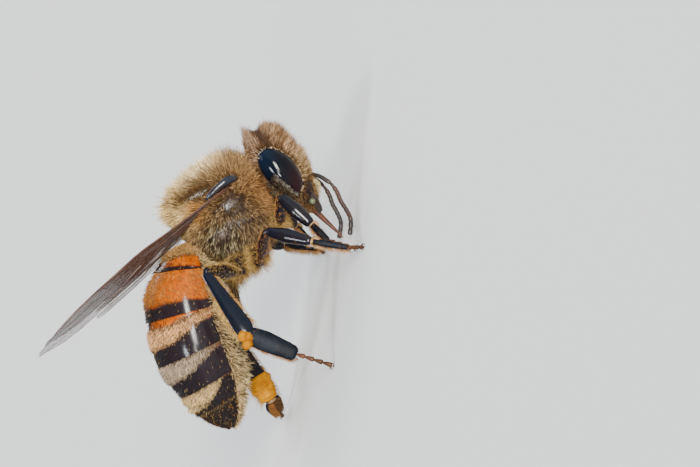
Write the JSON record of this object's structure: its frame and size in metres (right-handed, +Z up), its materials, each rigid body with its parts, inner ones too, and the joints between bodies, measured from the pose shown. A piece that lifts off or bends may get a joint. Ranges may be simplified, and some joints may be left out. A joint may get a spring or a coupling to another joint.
{
  "type": "honey bee",
  "caption": "Life-size worker honey bee standing with its head lowered and its wings raised over the banded abdomen, with pollen on its hind legs.",
  "frame": {"origin": "middle of the footprint, on the ground that the six feet stand on", "axes": "+X the way the bee faces, +Y its left side, +Z up"},
  "size_m": [0.012, 0.0114, 0.011],
  "materials": {
    "hair": "dense soft branched hair, orange-brown with pale buff tips, over a dark shell",
    "orange_shell": "smooth semi-gloss orange horn with black rear bands",
    "black_shell": "smooth glossy blue-black to dark brown horn",
    "eye": "glossy black, very finely faceted",
    "tongue": "translucent-looking amber to red-brown horn",
    "feeler": "dull dark brown, reddish at the joints",
    "wing": "clear smoky brown membrane with darker veins",
    "pollen": "matt packed orange-yellow grains"
  },
  "bodies": {
    "root": {"abdomen_segment_1": "orange_shell", "abdomen_segment_2": "orange_shell", "abdomen_segment_3": "orange_shell", "abdomen_segment_4": "black_shell", "abdomen_segment_5": "black_shell", "abdomen_segment_6": "black_shell", "antenna_flagellum_l": "feeler", "antenna_flagellum_r": "feeler", "antenna_scape_l": "feeler", "antenna_scape_r": "feeler", "eye_l": "eye", "eye_r": "eye", "forewing_l": "wing", "forewing_r": "wing", "front_leg_l_basitarsus": "black_shell", "front_leg_l_coxa": "black_shell", "front_leg_l_femur": "black_shell", "front_leg_l_tarsus": "black_shell", "front_leg_l_tibia": "black_shell", "front_leg_r_basitarsus": "black_shell", "front_leg_r_coxa": "black_shell", "front_leg_r_femur": "black_shell", "front_leg_r_tarsus": "black_shell", "front_leg_r_tibia": "black_shell", "head": "hair", "hind_leg_l_basitarsus": "black_shell", "hind_leg_l_coxa": "black_shell", "hind_leg_l_femur": "black_shell", "hind_leg_l_tarsus": "black_shell", "hind_leg_l_tibia": "black_shell", "hind_leg_r_basitarsus": "black_shell", "hind_leg_r_coxa": "black_shell", "hind_leg_r_femur": "black_shell", "hind_leg_r_tarsus": "black_shell", "hind_leg_r_tibia": "black_shell", "hindwing_l": "wing", "hindwing_r": "wing", "mandible_l": "black_shell", "mandible_r": "black_shell", "middle_leg_l_basitarsus": "black_shell", "middle_leg_l_coxa": "black_shell", "middle_leg_l_femur": "black_shell", "middle_leg_l_tarsus": "black_shell", "middle_leg_l_tibia": "black_shell", "middle_leg_r_basitarsus": "black_shell", "middle_leg_r_coxa": "black_shell", "middle_leg_r_femur": "black_shell", "middle_leg_r_tarsus": "black_shell", "middle_leg_r_tibia": "black_shell", "pollen_load_l": "pollen", "pollen_load_r": "pollen", "proboscis": "tongue", "tegula_l": "black_shell", "tegula_r": "black_shell", "thorax": "hair"}
  },
  "joints": []
}
